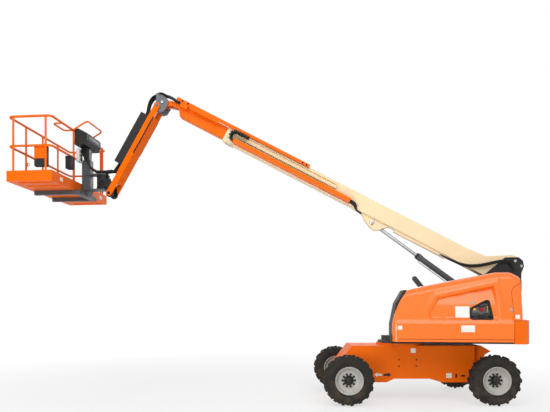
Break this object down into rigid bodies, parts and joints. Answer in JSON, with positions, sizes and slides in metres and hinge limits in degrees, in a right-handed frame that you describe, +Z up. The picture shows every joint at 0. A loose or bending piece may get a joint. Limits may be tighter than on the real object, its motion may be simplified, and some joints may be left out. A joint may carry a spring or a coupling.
{
  "type": "telescopic boom lift",
  "caption": "Self-propelled aerial work platform: wheeled chassis, swinging turret with hoods, telescoping boom lifted by a cylinder, jib and railed platform.",
  "frame": {"origin": "on the ground, under the middle of the machine's box", "axes": "+X from the platform towards the tail, along the boom; +Y to the far side; +Z up"},
  "size_m": [9.14, 2.6302, 5.7464],
  "materials": {
    "orange_paint": "gloss enamel over steel",
    "orange_hood": "moulded hood, gloss",
    "orange_cast": "painted casting",
    "cream_paint": "gloss enamel over steel",
    "dark_paint": "satin black enamel",
    "grey_paint": "dark grey enamel",
    "rim_paint": "pale grey enamel",
    "tyre_rubber": "black tread rubber",
    "rod_chrome": "hard chrome",
    "black_plastic": "moulded, matte",
    "white_plastic": "moulded, satin",
    "engine_alloy": "cast, oily"
  },
  "bodies": {
    "chassis": {"chassis_frame": "orange_paint", "drive_axle": "dark_paint", "steer_axle": "dark_paint"},
    "knuckle_near": {"steer_knuckle_near": "dark_paint"},
    "knuckle_far": {"steer_knuckle_far": "dark_paint"},
    "tie_rod": {"tie_rod": "dark_paint"},
    "wheel_front_near": {"tyre_front_near": "tyre_rubber", "wheel_front_near": "rim_paint"},
    "wheel_front_far": {"tyre_front_far": "tyre_rubber", "wheel_front_far": "rim_paint"},
    "wheel_rear_near": {"tyre_rear_near": "tyre_rubber", "wheel_rear_near": "rim_paint"},
    "wheel_rear_far": {"tyre_rear_far": "tyre_rubber", "wheel_rear_far": "rim_paint"},
    "turret": {"turntable": "dark_paint", "counterweight": "orange_cast", "engine_block": "engine_alloy", "deck_box": "black_plastic"},
    "hood_near": {"hood_near": "orange_hood"},
    "hood_far": {"hood_far": "orange_hood", "exhaust_stack": "grey_paint"},
    "base_boom": {"base_boom": "cream_paint", "wear_pads": "black_plastic", "boom_hose_guard": "cream_paint", "track_tray": "orange_paint", "lift_rod": "rod_chrome"},
    "lift_barrel": {"lift_barrel": "grey_paint"},
    "cable_track": {"cable_track": "black_plastic"},
    "fly_boom": {"fly_boom": "orange_paint", "push_bar": "orange_paint"},
    "jib_head": {"jib_head": "dark_paint"},
    "jib": {"jib_arm": "orange_paint", "jib_hose_cover": "black_plastic"},
    "platform_support": {"rotator": "dark_paint"},
    "platform": {"platform_mast": "grey_paint", "platform_floor": "orange_paint", "rail_near_end": "orange_paint", "rail_far_end": "orange_paint", "rail_outer_side": "orange_paint", "rail_boom_side": "orange_paint", "control_console": "black_plastic", "console_guard": "orange_paint", "document_box": "black_plastic", "outlet_box": "white_plastic", "tool_box": "black_plastic"},
    "gate": {"platform_gate": "orange_paint"}
  },
  "joints": [
    {"name": "swing", "type": "hinge", "parent": "chassis", "child": "turret", "pos_m": [2.39, -0.01422, 0.9568], "axis": [0, 0, 1], "continuous": true},
    {"name": "boom_lift", "type": "hinge", "parent": "turret", "child": "base_boom", "pos_m": [4.383, -0.01422, 2.4638], "axis": [0, 1, 0], "range_deg": [-28.4, 43.6]},
    {"name": "telescope", "type": "slide", "parent": "base_boom", "child": "fly_boom", "axis": [-0.8796, 0, 0.4756], "range_m": [-0.65, 3.85]},
    {"name": "track_run", "type": "slide", "parent": "base_boom", "child": "cable_track", "axis": [-0.8796, 0, 0.4756], "range_m": [-0.325, 1.925]},
    {"name": "barrel_slide", "type": "slide", "parent": "base_boom", "child": "lift_barrel", "axis": [0.8003, 0, -0.5996], "range_m": [-0.43, 0.66]},
    {"name": "head_level", "type": "hinge", "parent": "fly_boom", "child": "jib_head", "pos_m": [-2.07878, -0.01422, 5.55638], "axis": [0, 1, 0], "range_deg": [-43.6, 28.4]},
    {"name": "jib_lift", "type": "hinge", "parent": "jib_head", "child": "jib", "pos_m": [-2.17378, -0.01422, 5.49038], "axis": [0, 1, 0], "range_deg": [-10, 130]},
    {"name": "platform_level", "type": "hinge", "parent": "jib", "child": "platform_support", "pos_m": [-3.12628, -0.01422, 3.8406], "axis": [0, 1, 0], "range_deg": [-130, 10]},
    {"name": "platform_rotate", "type": "hinge", "parent": "platform_support", "child": "platform", "pos_m": [-3.30028, -0.01422, 4.2096], "axis": [0, 0, 1], "range_deg": [-90, 90]},
    {"name": "gate_swing", "type": "hinge", "parent": "platform", "child": "gate", "pos_m": [-3.75728, 0.97978, 4.4896], "axis": [0, 0, -1], "range_deg": [0, 90]},
    {"name": "hood_near_lift", "type": "hinge", "parent": "turret", "child": "hood_near", "pos_m": [2.35, -0.44422, 1.9398], "axis": [-0.9819, 0, -0.1894], "range_deg": [0, 55]},
    {"name": "hood_far_lift", "type": "hinge", "parent": "turret", "child": "hood_far", "pos_m": [2.58, 0.41578, 1.9398], "axis": [0.9752, 0, 0.2211], "range_deg": [0, 55]},
    {"name": "steer_near", "type": "hinge", "parent": "chassis", "child": "knuckle_near", "pos_m": [3.82115, -0.65815, 0.4258], "axis": [0, 0, 1], "range_deg": [-30, 30]},
    {"name": "steer_far", "type": "hinge", "parent": "chassis", "child": "knuckle_far", "pos_m": [3.65599, 0.9132, 0.4258], "axis": [0, 0, 1], "range_deg": [-30, 30]},
    {"name": "tie_rod_slide", "type": "slide", "parent": "chassis", "child": "tie_rod", "axis": [-0.1045, 0.9945, 0], "range_m": [-0.1, 0.1]},
    {"name": "roll_front_near", "type": "hinge", "parent": "chassis", "child": "wheel_front_near", "pos_m": [1.41699, -1.12702, 0.4258], "axis": [-0.1045, 0.9945, 0], "continuous": true},
    {"name": "roll_front_far", "type": "hinge", "parent": "chassis", "child": "wheel_front_far", "pos_m": [1.20689, 0.87197, 0.4258], "axis": [-0.1045, 0.9945, 0], "continuous": true},
    {"name": "roll_rear_near", "type": "hinge", "parent": "knuckle_near", "child": "wheel_rear_near", "pos_m": [3.84362, -0.87197, 0.4258], "axis": [-0.1045, 0.9945, 0], "continuous": true},
    {"name": "roll_rear_far", "type": "hinge", "parent": "knuckle_far", "child": "wheel_rear_far", "pos_m": [3.63352, 1.12702, 0.4258], "axis": [-0.1045, 0.9945, 0], "continuous": true}
  ],
  "couplings": [
    {"joint": "track_run", "follows": "telescope", "ratio": 0.5},
    {"joint": "barrel_slide", "follows": "boom_lift", "m_per_rad": 0.852},
    {"joint": "head_level", "follows": "boom_lift", "ratio": -1},
    {"joint": "platform_level", "follows": "jib_lift", "ratio": -1},
    {"joint": "steer_far", "follows": "steer_near", "ratio": 1},
    {"joint": "tie_rod_slide", "follows": "steer_near", "m_per_rad": 0.17}
  ]
}
